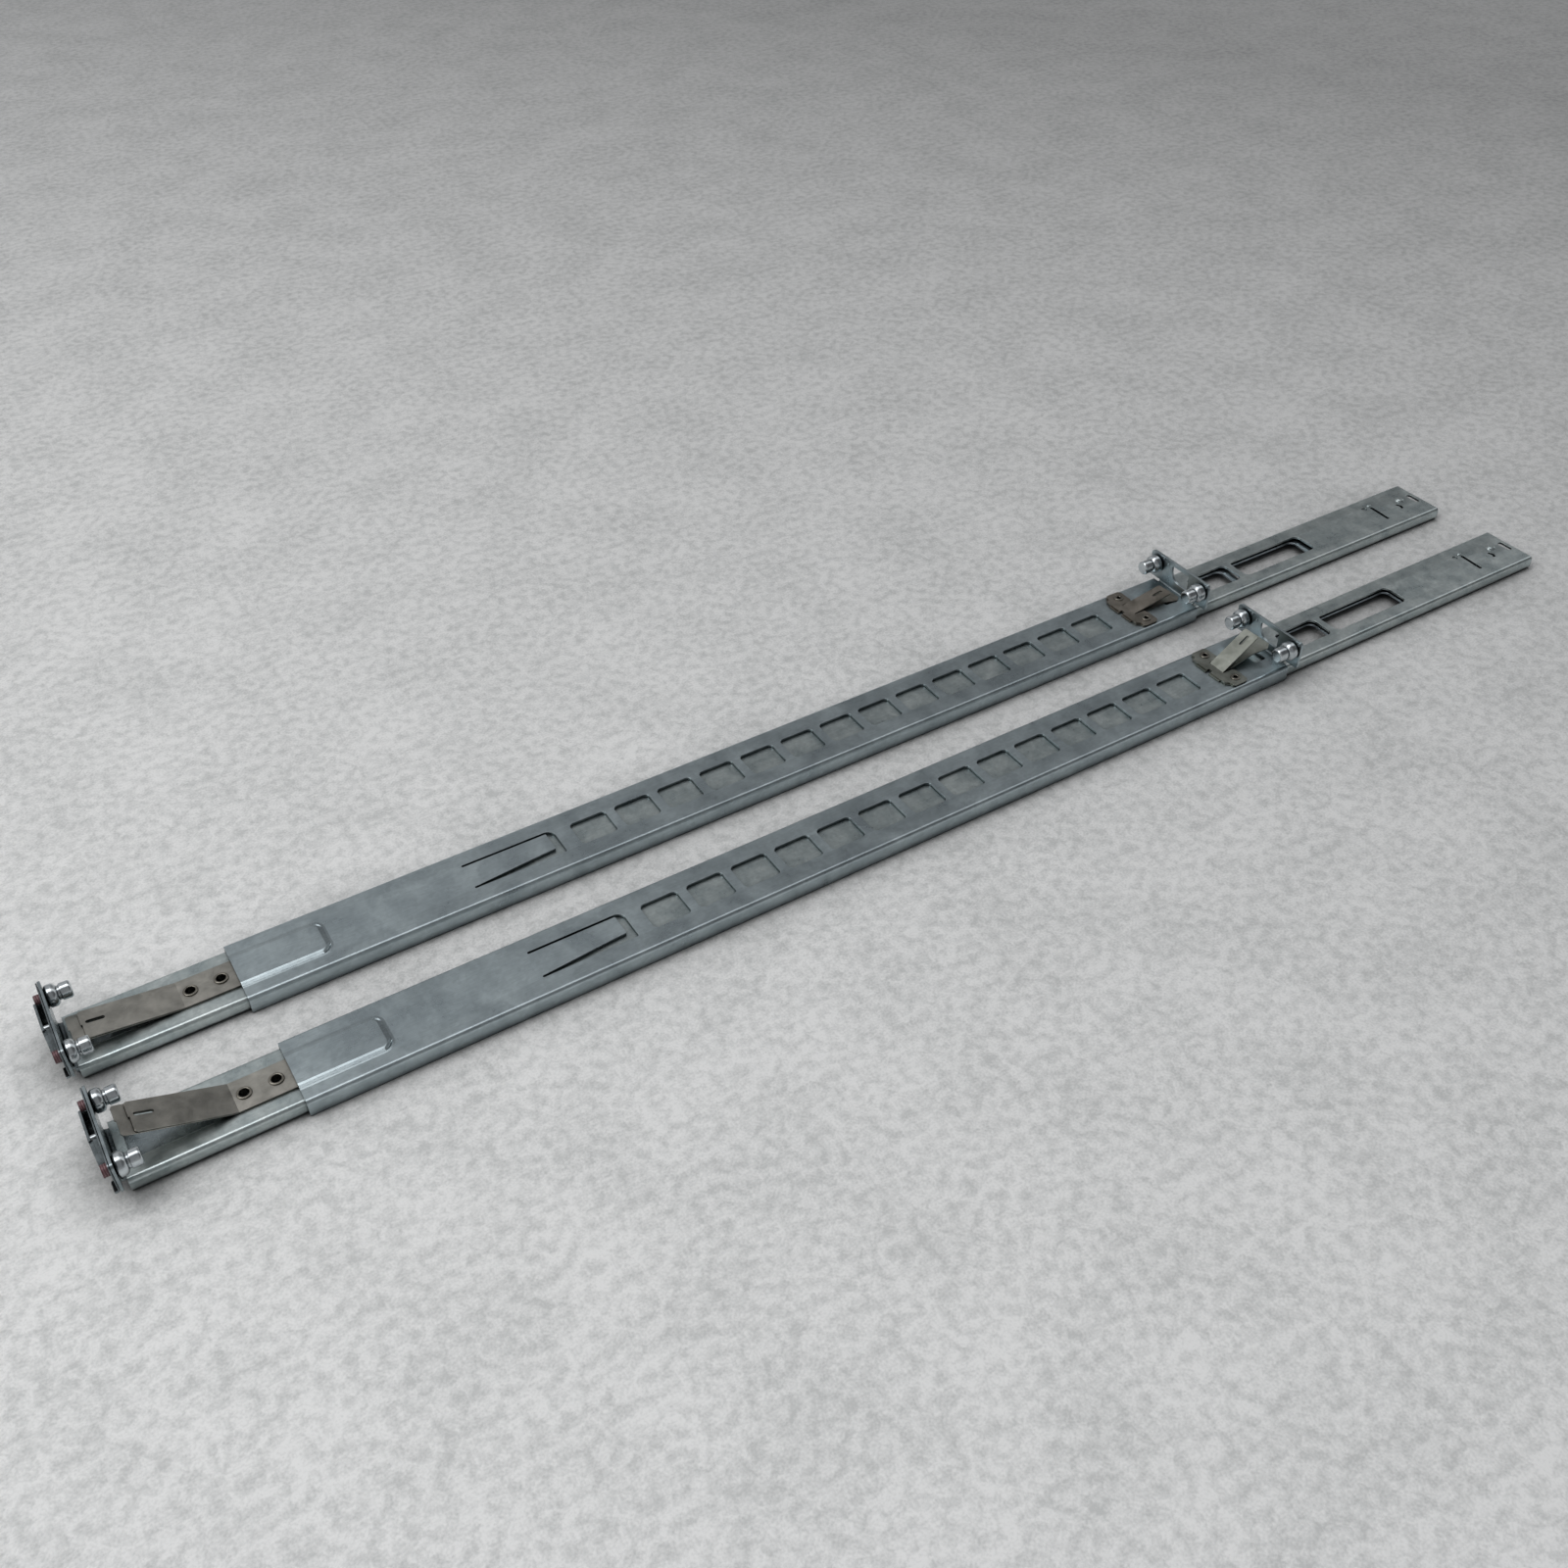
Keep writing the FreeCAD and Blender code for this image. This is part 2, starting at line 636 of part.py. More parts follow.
def frontBracket(side):
    owner = body(side, "front_bracket")
    turn = sketch(owner, "bend_outline", "XZ_Plane")
    foot = "(web_under - bracket_gauge)"
    outline(turn, [("bracket_rear", foot), ("-bracket_gauge", foot, "bracket_bend"),
                   ("-bracket_gauge", "flange_foot + 3"), ("0", "flange_foot + 3"),
                   ("0", "web_under", "bracket_bend - bracket_gauge"), ("bracket_rear", "web_under")])
    pad(owner, "bend", turn, "neck_width", both=True)
    face = sketch(owner, "flange_outline", "YZ_Plane", "-bracket_gauge")
    outline(face, box("-flange_half", "flange_half", "flange_foot", "flange_top", "flange_corner"))
    studHoles(face)
    pad(owner, "flange", face, "bracket_gauge")
    eyeletHoles(owner, foot + " - 0.1", "bracket_gauge + 0.3")
    return owner


def catchPlate(side):
    """A thin plate held off the flange by two bosses, with a hook that runs across it."""
    owner = body(side, "front_catch_plate")
    face = sketch(owner, "face_outline", "YZ_Plane", "-catch_back")
    wide = "(flange_half - 0.3)"
    outline(face, box("-" + wide, wide, "flange_foot + 0.3", "flange_top - 0.2", "flange_corner"))
    studHoles(face)
    pad(owner, "face", face, "catch_gauge")
    bosses = sketch(owner, "boss_outline", "YZ_Plane", "-bracket_gauge - catch_gap")
    studHoles(bosses, "catch_boss_radius")
    studHoles(bosses)
    pad(owner, "bosses", bosses, "catch_gap")
    back = "(0.1 - catch_back)"
    tall = "catch_high - catch_low"
    near = "(catch_taper - catch_reach)"
    hook = [(back, "-catch_right"), (near, "-catch_right", "0.4"), ("-catch_reach", "-catch_middle"),
            ("-catch_reach", "catch_left", "0.4"), (back, "catch_left")]
    plate(owner, "hook", hook, "catch_low", tall)
    inside = "(catch_wall - catch_reach)"
    open_half = box(inside, "-catch_back", "-catch_middle", "catch_left + 1")
    cut(owner, "open_half", open_half, "catch_low - 0.1", tall + " + 0.2")
    roofed = [(inside + " + catch_taper", "catch_wall - catch_right"), ("-catch_back", "catch_wall - catch_right"),
              ("-catch_back", "-catch_middle - catch_wall"), (inside, "-catch_middle - catch_wall")]
    cut(owner, "roofed_half", roofed, "catch_low - 0.1", tall + " - catch_wall")
    step = [(near + " - 1", "-catch_right - 1"), (near + " + catch_step_width", "-catch_right - 1"),
            ("catch_step_width - catch_reach", "-catch_middle"), ("-catch_reach - 1", "-catch_middle")]
    cut(owner, "step", step, "catch_high - catch_step_depth", "catch_step_depth + 0.1")
    edge = "(-catch_back - catch_lip_reach)"
    lip = [(edge, "-" + wide, "0.5"), (back, "-" + wide), (back, "-catch_lip_right"), (edge, "-catch_lip_right", "0.5")]
    plate(owner, "lip", lip, "flange_foot + 1.2", "catch_wall")
    return owner


def catchPin(side):
    """The pin that ties the free half of the hook to its plate."""
    owner = body(side, "front_catch_pin")
    profile = sketch(owner, "profile", "YZ_Plane", "catch_wall - catch_reach")
    disc(profile, "catch_pin_y", "catch_pin_level", "catch_pin_radius")
    pad(owner, "pin", profile, "catch_reach - catch_wall - catch_back")
    return owner


def frontStuds(side):
    owner = body(side, "front_studs", z="stud_level")
    profile = sketch(owner, "profile", "XY_Plane")
    middle = "stud_spacing / 2"
    shoulder = "stud_shoulder_length"
    waist = shoulder + " + stud_waist_length"
    tip = waist + " + stud_tip_length"
    tail = "(-catch_back - front_tail_length)"
    steps = [(tail, "0"), (tail, "stud_tail_radius", "0.5"), ("0", "stud_tail_radius"), ("0", "stud_shoulder_radius", "1.4"),
             (shoulder, "stud_shoulder_radius", "2"), (shoulder, "stud_waist_radius"), (waist, "stud_waist_radius"),
             (waist, "stud_tip_radius", "0.4"), (tip, "stud_tip_radius", "1"), (tip, "0")]
    outline(profile, [(x, middle + " + " + r) + tuple(more) for x, r, *more in steps])
    axis = profile.addGeometry(Part.LineSegment(FreeCAD.Vector(-9, worth(middle), 0),
                                                FreeCAD.Vector(20, worth(middle), 0)), True)
    place(profile, axis, 1, ("-9", middle), FreeCAD.Vector(-9, worth(middle), 0))
    place(profile, axis, 2, ("20", middle), FreeCAD.Vector(20, worth(middle), 0))
    stud = spin(owner, "stud", profile, "Axis0")
    mirrored(owner, "studs", stud)
    return owner


def rearStuds(side):
    owner = body(side, "rear_studs", x="rear_flange_front", z="stud_level")
    profile = sketch(owner, "profile", "XY_Plane")
    middle = "stud_spacing / 2"
    shoulder = "(-stud_shoulder_length - 0.8)"
    waist = "(-stud_shoulder_length - 1.6)"
    tip = "(-rear_stud_length)"
    tail = "(sleeve_gauge + rear_tail_length)"
    steps = [(tip, "0"), (tip, "stud_tip_radius", "1"), (waist, "stud_tip_radius", "0.4"), (waist, "stud_waist_radius"),
             (shoulder, "stud_waist_radius"), (shoulder, "stud_shoulder_radius", "2.2"), ("0", "stud_shoulder_radius", "1.6"),
             ("0", "stud_tail_radius"), (tail, "stud_tail_radius", "0.5"), (tail, "0")]
    outline(profile, [(x, middle + " + " + r) + tuple(more) for x, r, *more in steps])
    axis = profile.addGeometry(Part.LineSegment(FreeCAD.Vector(-20, worth(middle), 0),
                                                FreeCAD.Vector(9, worth(middle), 0)), True)
    place(profile, axis, 1, ("-20", middle), FreeCAD.Vector(-20, worth(middle), 0))
    place(profile, axis, 2, ("9", middle), FreeCAD.Vector(9, worth(middle), 0))
    stud = spin(owner, "stud", profile, "Axis0")
    mirrored(owner, "studs", stud)
    return owner


def eyelets(side):
    owner = body(side, "front_latch_eyelets", x="eyelet_first")
    profile = sketch(owner, "profile", "XZ_Plane")
    foot = "(web_under - bracket_gauge)"
    top = "latch_stack + eyelet_rise"
    outline(profile, [("eyelet_bore", foot), ("eyelet_radius", foot), ("eyelet_radius", "latch_stack"),
                      ("eyelet_head", "latch_stack"), ("eyelet_head", top, "0.4"), ("eyelet_bore", top, "0.35")])
    first = spin(owner, "eyelet", profile, "V_Axis")
    repeat(owner, "eyelets", first, "eyelet_step", 2)
    return owner


def frontFoot(side, name, low):
    owner = body(side, name)
    half = "front_leaf_width / 2"
    corners = [("front_latch_hinge", "-" + half), ("front_latch_rear", "-" + half, "1"),
               ("front_latch_rear", half, "1"), ("front_latch_hinge", half)]
    holes = [("eyelet_first", "0", "eyelet_radius"), ("eyelet_first + eyelet_step", "0", "eyelet_radius")]
    plate(owner, "foot", corners, low, "latch_gauge", holes)
    return owner


def frontLeaf(side, name, length, low, spread="0"):
    """One spring leaf, turned up about the front edge of its foot."""
    owner = body(side, name, x="front_latch_hinge", z="latch_stack", lift=side + "_front_latch_lift + " + spread)
    half = "front_leaf_width / 2"
    tip = "-" + length
    corners = [("0", "-" + half), ("0", half), (tip, half, "1.2"), (tip, "0"), (tip + " + front_leaf_jog", "0"),
               (tip + " + front_leaf_jog", "-" + half, "1.2")]
    plate(owner, "leaf", corners, low, "latch_gauge")
    slot = box("-front_slot_tip", "-front_slot_root", "front_slot_right", "front_slot_right + front_slot_width",
               "front_slot_width / 2 - 0.01")
    cut(owner, "slot", slot, low + " - 0.1", "latch_gauge + 0.2")
    return owner


def rearPlates(side):
    half = "rear_plate_width / 2"
    leaf = "rear_leaf_width / 2"
    gap = "(rear_leaf_width / 2 + rear_leaf_slit)"
    spots = [("rear_rivet_along", "rear_rivet_across", "rivet_radius"),
             ("rear_rivet_along", "-rear_rivet_across", "rivet_radius")]
    lower = body(side, "rear_latch_lower_plate")
    front = "rear_plate_front"
    rear = "rear_plate_rear"
    tab = "(rear_plate_front - 1)"
    edge = [(tab, "1"), (tab, "8"), (front, "8"), (front, "11", "1"), (front + " + 2", "13"), (front + " + 2", half + " - 0.5", "1"),
            (rear + " - 0.6", half + " - 0.5", "1.5"), (rear + " - 0.6", gap), ("rear_lower_hinge", gap)]
    mirror = [(x, "-(%s)" % y) + tuple(more) for x, y, *more in reversed(edge)]
    notch = [(front, "-1"), (front + " + 1.2", "-1"), (front + " + 1.2", "1"), (front, "1")]
    plate(lower, "plate", edge + mirror + notch, "sleeve_top", "rear_plate_gauge", spots)
    upper = body(side, "rear_latch_upper_plate")
    edge = [(front, "1.2", "0.3"), (front, "10.6", "1.5"), (front + " + 2.4", "12.2", "1.5"), (front + " + 2.4", half, "1.5"),
            (rear, half, "2"), (rear, "6.5", "1"), ("527", gap), ("rear_top_hinge", gap)]
    mirror = [(x, "-(%s)" % y) + tuple(more) for x, y, *more in reversed(edge)]
    notch = [(front, "-1.2", "0.3"), (front + " + 1.4", "-1.2"), (front + " + 1.4", "1.2")]
    mirror = mirror[:-1]
    plate(upper, "plate", edge + mirror + notch, "rear_lower_top", "rear_plate_gauge", spots)
    return lower, upper


def rearTopLeaf(side):
    owner = body(side, "rear_latch_top_leaf", x="rear_top_hinge", z="rear_upper_top",
                 lift="-%s_rear_latch_lift" % side)
    half = "rear_leaf_width / 2"
    corners = [("0", "-" + half), ("rear_top_leaf", "-" + half, "1"), ("rear_top_leaf", half, "1"), ("0", half)]
    plate(owner, "leaf", corners, "-rear_plate_gauge", "rear_plate_gauge")
    cut(owner, "slot", box("15.5", "21.5", "-0.8", "0.8", "0.75"), "-rear_plate_gauge - 0.1", "rear_plate_gauge + 0.2")
    return owner


def rearLowerLeaf(side):
    owner = body(side, "rear_latch_lower_leaf", x="rear_lower_hinge", z="rear_lower_top",
                 lift="-%s_rear_leaf_lift" % side)
    half = "rear_leaf_width / 2"
    flare = "rear_flare_width / 2"
    length = "rear_lower_leaf"
    side1 = [("0", half), ("0", "-" + half), ("18", "-" + half, "2"), (length + " - 2.5", "-" + flare, "1"),
             (length, "2 - " + flare, "0.5")]
    side2 = [(length, flare + " - 2", "0.5"), (length + " - 2.5", flare, "1"), ("18", half, "2")]
    plate(owner, "leaf", side1 + side2, "-rear_plate_gauge", "rear_plate_gauge")
    return owner


def rearRivets(side):
    owner = body(side, "rear_latch_rivets", x="rear_rivet_along")
    profile = sketch(owner, "profile", "YZ_Plane")
    middle = "rear_rivet_across"
    foot = "sleeve_under + 0.05"
    top = "rear_upper_top + 0.5"
    outline(profile, [(middle + " + 1.1", foot), (middle + " + rivet_radius - 0.03", foot), (middle + " + rivet_radius - 0.03", "rear_upper_top"),
                      (middle + " + 2.4", "rear_upper_top"), (middle + " + 2.4", top, "0.35"), (middle + " + 1.1", top, "0.3")])
    across = worth(middle)
    axis = profile.addGeometry(Part.LineSegment(FreeCAD.Vector(across, 0, 0), FreeCAD.Vector(across, 12, 0)), True)
    place(profile, axis, 1, (middle, "0"), FreeCAD.Vector(across, 0, 0))
    place(profile, axis, 2, (middle, "12"), FreeCAD.Vector(across, 12, 0))
    rivet = spin(owner, "rivet", profile, "Axis0")
    mirrored(owner, "rivets", rivet)
    return owner


def rail(side):
    """All the pieces of one rail."""
    pieces = [outerMember(side), middleMember(side), ballCage(side), balls(side), rearBumper(side), sleeve(side)]
    pieces += [frontBracket(side), catchPlate(side), catchPin(side), frontStuds(side), rearStuds(side), eyelets(side)]
    pieces.append(frontFoot(side, "front_latch_lower_foot", "channel_height"))
    pieces.append(frontFoot(side, "front_latch_top_foot", "channel_height + latch_gauge"))
    pieces.append(frontLeaf(side, "front_latch_lower_leaf", "front_lower_leaf", "-2 * latch_gauge"))
    pieces.append(frontLeaf(side, "front_latch_top_leaf", "front_top_leaf", "-latch_gauge", "front_leaf_spread"))
    pieces += rearPlates(side)
    pieces += [rearTopLeaf(side), rearLowerLeaf(side), rearRivets(side)]
    return pieces


parts = rail("left") + rail("right")
doc.recompute()

for item in doc.Objects:
    wrong = [word for word in item.State if word in ("Invalid", "Error")]
    if wrong:
        raise RuntimeError("%s did not build: %s" % (item.Label, wrong))
for part in parts:
    if part.Shape.isNull() or not part.Shape.isValid() or not part.Shape.Solids:
        raise RuntimeError("%s has no valid solid" % part.Label)

os.makedirs("parts", exist_ok=True)
for part in parts:
    part.Shape.exportStep("parts/%s.step" % part.Label)
print("wrote %d parts" % len(parts))
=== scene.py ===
import math
import bpy
import numpy as np
from mathutils import Euler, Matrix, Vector


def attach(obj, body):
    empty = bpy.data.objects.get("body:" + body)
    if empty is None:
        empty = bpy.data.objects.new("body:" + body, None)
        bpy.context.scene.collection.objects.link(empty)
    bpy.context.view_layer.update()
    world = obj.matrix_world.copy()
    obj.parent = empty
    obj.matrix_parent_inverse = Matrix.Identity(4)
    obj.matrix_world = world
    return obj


mm = 0.001
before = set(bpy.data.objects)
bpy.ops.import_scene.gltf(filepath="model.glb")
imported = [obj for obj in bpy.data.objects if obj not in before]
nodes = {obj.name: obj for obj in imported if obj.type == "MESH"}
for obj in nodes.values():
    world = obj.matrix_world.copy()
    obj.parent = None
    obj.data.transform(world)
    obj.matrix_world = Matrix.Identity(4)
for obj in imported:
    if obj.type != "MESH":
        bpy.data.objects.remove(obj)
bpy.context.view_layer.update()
sides = ("left", "right")
railPlaces = {"left": (-364.4, 30.0), "right": (-361.8, -30.0)}  # x and y of each rail's front end, mm
mixDark, mixLight, mixColour = 6, 7, 2  # a colour Mix node's two inputs and its output go by number
print("frame loaded:", len(nodes), "nodes")


# sRGB hex to linear: below 0.04045 a straight line, above it a 2.4 power curve
def linear(hexText):
    values = np.array([int(hexText[i:i + 2], 16) for i in (1, 3, 5)]) / 255
    curve = np.where(values <= 0.04045, values / 12.92, ((values + 0.055) / 1.055) ** 2.4)
    return (*curve.tolist(), 1.0)


# adds one node; links is a list of (own input, other node, its output), and the rest are settings
# or input values
def addNode(tree, kind, links=(), **settings):
    node = tree.nodes.new(kind)
    for key, value in settings.items():
        name = key.replace("_", " ")
        if name in node.inputs:
            node.inputs[name].default_value = value
        else:
            setattr(node, key, value)
    for own, other, output in links:
        tree.links.new(other.outputs[output], node.inputs[own])
    return node


def newMaterial(name):
    material = bpy.data.materials.new(name)
    material.use_nodes = True
    tree = material.node_tree
    tree.nodes.clear()
    place = addNode(tree, "ShaderNodeTexCoord")
    output = addNode(tree, "ShaderNodeOutputMaterial")
    return material, tree, place, output


# what all the steels share: how far the rolling lines are drawn out along the strip, the part of each
# pattern's range that shows, the span of occlusion that turns into painted shade, and the heights of the
# grit and of the lines in mm
steelLook = {"stretch": 0.06, "cloudSpan": (0.35, 0.68), "stainSpan": (0.60, 0.72),
             "lineSpan": (0.3, 0.7), "wornSpan": (0.50, 0.60), "paintedShadeSpan": (0.15, 0.85),
             "roughSpan": (0.3, 0.7), "roughLess": 0.04, "roughMore": 0.06,
             "gritHeight": 0.04, "lineHeight": 0.03, "lineBump": 0.7}


# Plated or bare cold-rolled steel: cloudy plating with faint rolling lines along the strip, fine grit,
# small dull stains, painted shade that darkens the colour in crevices and hollows, and edges worn a
# little brighter. look holds its tones and its scales in mm. shoulder adds the height of a soft pressed
# edge, where the piece has one.
def zincSteel(name, look, shoulder=None):
    material, tree, place, output = newMaterial(name)
    onPiece = ("Vector", place, "Object")
    stretch = addNode(tree, "ShaderNodeMapping", [onPiece], Scale=(steelLook["stretch"], 1.0, 1.0))
    lines = addNode(tree, "ShaderNodeTexNoise", [("Vector", stretch, "Vector")],
                    Scale=1 / (look["lineWidth"] * mm), Detail=5.0)
    clouds = addNode(tree, "ShaderNodeTexNoise", [onPiece], Scale=1 / (look["cloud"] * mm),
                     Detail=4.0, Roughness=0.6, Distortion=0.4)
    grit = addNode(tree, "ShaderNodeTexNoise", [onPiece], Scale=1 / (look["grit"] * mm), Detail=3.0)
    spangle = addNode(tree, "ShaderNodeTexVoronoi", [onPiece], Scale=1 / (look["spangle"] * mm))
    stains = addNode(tree, "ShaderNodeTexNoise", [onPiece], Scale=1 / (look["stain"] * mm),
                     Detail=6.0, Roughness=0.7)
    low, high = steelLook["cloudSpan"]
    cloudLevel = addNode(tree, "ShaderNodeMapRange", [("Value", clouds, "Fac")],
                         From_Min=low, From_Max=high)
    mixed = addNode(tree, "ShaderNodeMix", [("Factor", cloudLevel, "Result")], data_type="RGBA")
    mixed.inputs[mixDark].default_value = linear(look["dark"])
    mixed.inputs[mixLight].default_value = linear(look["light"])
    low, high = steelLook["stainSpan"]
    stainLevel = addNode(tree, "ShaderNodeMapRange", [("Value", stains, "Fac")],
                         From_Min=low, From_Max=high, To_Min=1.0, To_Max=1 - look["stained"])
    low, high = steelLook["lineSpan"]
    lineLevel = addNode(tree, "ShaderNodeMapRange", [("Value", lines, "Fac")], From_Min=low,
                        From_Max=high, To_Min=1 - look["lines"], To_Max=1 + look["lines"])
    spangleLevel = addNode(tree, "ShaderNodeMapRange", [("Value", spangle, "Color")],
                           To_Min=1 - look["flake"], To_Max=1 + look["flake"])
    edges = addNode(tree, "ShaderNodeNewGeometry")
    low, high = steelLook["wornSpan"]
    edgeLevel = addNode(tree, "ShaderNodeMapRange", [("Value", edges, "Pointiness")],
                        From_Min=low, From_Max=high, To_Min=1.0, To_Max=1 + look["worn"])
    # painted shade: ambient occlusion darkens the steel's colour in crevices, slits, hollows and under
    # parts, down to the look's paintedShade level
    crevice = addNode(tree, "ShaderNodeAmbientOcclusion", Distance=look["crevice"] * mm, samples=4)
    low, high = steelLook["paintedShadeSpan"]
    paintedShade = addNode(tree, "ShaderNodeMapRange", [("Value", crevice, "AO")],
                    From_Min=low, From_Max=high, To_Min=look["paintedShade"], To_Max=1.0)
    level = addNode(tree, "ShaderNodeMath", operation="MULTIPLY",
                    links=[(0, lineLevel, "Result"), (1, spangleLevel, "Result")])
    for other in (stainLevel, edgeLevel, paintedShade):
        level = addNode(tree, "ShaderNodeMath", operation="MULTIPLY",
                        links=[(0, level, 0), (1, other, "Result")])
    toned = addNode(tree, "ShaderNodeVectorMath", operation="SCALE",
                    links=[(0, mixed, mixColour), ("Scale", level, 0)])
    low, high = steelLook["roughSpan"]
    rough = addNode(tree, "ShaderNodeMapRange", [("Value", clouds, "Fac")], From_Min=low,
                    From_Max=high, To_Min=look["rough"] - steelLook["roughLess"],
                    To_Max=look["rough"] + steelLook["roughMore"])
    soft = addNode(tree, "ShaderNodeBevel", Radius=look["edge"] * mm, samples=4)
    if shoulder:
        soft = shoulder(tree, place, soft)
    gritBump = addNode(tree, "ShaderNodeBump", [("Height", grit, "Fac"), ("Normal", soft, "Normal")],
                       Strength=look["bump"], Distance=steelLook["gritHeight"] * mm)
    lineBump = addNode(tree, "ShaderNodeBump",
                       [("Height", lines, "Fac"), ("Normal", gritBump, "Normal")],
                       Strength=look["bump"] * steelLook["lineBump"],
                       Distance=steelLook["lineHeight"] * mm)
    shader = addNode(tree, "ShaderNodeBsdfPrincipled",
                     [("Base Color", toned, 0), ("Roughness", rough, "Result"),
                      ("Normal", lineBump, "Normal")], Metallic=1.0)
    tree.links.new(shader.outputs[0], output.inputs["Surface"])
    return material


# blue-passivated zinc on rolled sheet: an even, cool blue-grey with broad clouds
sleeveLook = {"dark": "#939ea2", "light": "#a7b2b5", "lineWidth": 0.35, "cloud": 16, "grit": 0.5,
              "spangle": 1.6, "stain": 7, "lines": 0.08, "flake": 0.07, "stained": 0.14,
              "worn": 0.25, "crevice": 6.0, "paintedShade": 0.06, "rough": 0.30, "edge": 0.3, "bump": 0.38}
# zinc on the drawn channel: paler and more mottled, with smaller clouds
memberLook = {"dark": "#9aa5a6", "light": "#b3bbba", "lineWidth": 0.4, "cloud": 9, "grit": 0.6,
              "spangle": 1.2, "stain": 5, "lines": 0.07, "flake": 0.09, "stained": 0.16,
              "worn": 0.25, "crevice": 3.5, "paintedShade": 0.06, "rough": 0.30, "edge": 0.3, "bump": 0.42}
# zinc on the punched brackets: darker, with brighter worn edges
bracketLook = {"dark": "#727b7e", "light": "#8b9497", "lineWidth": 0.5, "cloud": 6, "grit": 0.5,
               "spangle": 1.5, "stain": 4, "lines": 0.04, "flake": 0.05, "stained": 0.15,
               "worn": 0.35, "crevice": 3.5, "paintedShade": 0.06, "rough": 0.26, "edge": 0.2, "bump": 0.30}
# tempered spring strip: a warm, satin grey with hardly any grain
springLook = {"dark": "#85847e", "light": "#a09e97", "lineWidth": 0.25, "cloud": 8, "grit": 0.3,
              "spangle": 0.9, "stain": 5, "lines": 0.05, "flake": 0.03, "stained": 0.12,
              "worn": 0.3, "crevice": 3.5, "paintedShade": 0.06, "rough": 0.33, "edge": 0.08, "bump": 0.25}
# bright zinc on turned studs: nearly white and glossy
studLook = {"dark": "#b9c0c4", "light": "#d2d8da", "lineWidth": 0.3, "cloud": 3, "grit": 0.4,
            "spangle": 0.8, "stain": 2, "lines": 0.03, "flake": 0.03, "stained": 0.2,
            "worn": 0.0, "crevice": 3.5, "paintedShade": 0.06, "rough": 0.16, "edge": 0.15, "bump": 0.15}
# painted shade: a bluer copy of the member's zinc, standing for the cool shade the intermediate member
# lies in under the sleeve
innerLook = dict(memberLook, dark="#98a3aa", light="#b0bbc1")  # a bluer zinc, out of the light
greenSpringLook = dict(springLook, dark="#747770", light="#8d9089")  # spring strip, olive cast
brownSpringLook = dict(springLook, dark="#6d6961", light="#87827a")  # spring strip, tempered brown
# the catch's zinc has a darker tone. Its painted shade reaches further into hollows (crevice) and goes
# nearly black (paintedShade).
catchLook = dict(bracketLook, dark="#5f6668", light="#7c8487", crevice=9.0, paintedShade=0.02)  # dull and dark
cageLook = dict(memberLook, dark="#83878a", light="#9a9ea0")  # bare strip, plain grey
ballLook = dict(studLook, rough=0.08, flake=0.0)  # polished bearing steel, mirror-like
rivetLook = dict(springLook, dark="#77746c", light="#8f8c83", rough=0.28)  # browned, a little glossier
# the sleeve's pressed pad, whose edge is a soft shoulder about 2 mm wide. The height follows the
# distance to a rectangle with round corners: the length of the part of (along, across) that lies
# outside the rectangle of the corners' centres. heights are (part of the way from "from" to "to",
# level). Lengths in mm.
padLook = {"half": 9.3, "rear": 102.4, "corner": 4.5, "from": -3.0, "to": 1.5, "rise": 0.85,
           "heights": ((0.0, 0.45), (0.222, 0.45), (0.50, 0.07), (0.649, 0.72), (0.867, 0.52),
                       (1.0, 0.52))}


def padShoulder(railX, railY):
    def shoulder(tree, place, normal):
        corner = padLook["corner"]
        local = addNode(tree, "ShaderNodeVectorMath", [(0, place, "Object")], operation="SUBTRACT")
        local.inputs[1].default_value = ((railX + padLook["rear"] - corner) * mm, railY * mm, 0)
        parts = addNode(tree, "ShaderNodeSeparateXYZ", [("Vector", local, 0)])
        along = addNode(tree, "ShaderNodeMath", [(0, parts, "X")], operation="MAXIMUM")
        along.inputs[1].default_value = 0
        width = addNode(tree, "ShaderNodeMath", [(0, parts, "Y")], operation="ABSOLUTE")
        inner = addNode(tree, "ShaderNodeMath", [(0, width, 0)], operation="SUBTRACT")
        inner.inputs[1].default_value = (padLook["half"] - corner) * mm
        outside = addNode(tree, "ShaderNodeMath", [(0, inner, 0)], operation="MAXIMUM")
        outside.inputs[1].default_value = 0
        pair = addNode(tree, "ShaderNodeCombineXYZ", [("X", along, 0), ("Y", outside, 0)])
        length = addNode(tree, "ShaderNodeVectorMath", [(0, pair, 0)], operation="LENGTH")
        spot = addNode(tree, "ShaderNodeMapRange", [("Value", length, "Value")],
                       From_Min=(corner + padLook["from"]) * mm,
                       From_Max=(corner + padLook["to"]) * mm)
        profile = addNode(tree, "ShaderNodeValToRGB", [("Fac", spot, "Result")])
        for index, (position, level) in enumerate(padLook["heights"]):
            if index > 1:  # a new ramp has two stops already
                profile.color_ramp.elements.new(position)
            profile.color_ramp.elements[index].position = position
            profile.color_ramp.elements[index].color = (level, level, level, 1)
        return addNode(tree, "ShaderNodeBump",
                       [("Height", profile, "Color"), ("Normal", normal, "Normal")],
                       Strength=1.0, Distance=padLook["rise"] * mm)
    return shoulder


zincSleeves = {side: zincSteel("zincPlatedSteelSleeve." + side, sleeveLook,
                               padShoulder(*railPlaces[side])) for side in sides}
zincInner = zincSteel("zincPlatedSteelInner", innerLook)
brownSpring = zincSteel("brownedSpringSteel", brownSpringLook)
greenSpring = zincSteel("olivePassivatedSpringSteel", greenSpringLook)
zincMember = zincSteel("zincPlatedSteelMember", memberLook)
zincBracket = zincSteel("zincPlatedSteelBracket", bracketLook)
zincCatch = zincSteel("zincPlatedSteelCatch", catchLook)
springSteel = zincSteel("temperedSpringSteel", springLook)
brightZinc = zincSteel("brightZincStud", studLook)
cageSteel = zincSteel("plainStripSteel", cageLook)
ballSteel = zincSteel("polishedBearingSteel", ballLook)
rivetSteel = zincSteel("brownedRivetSteel", rivetLook)


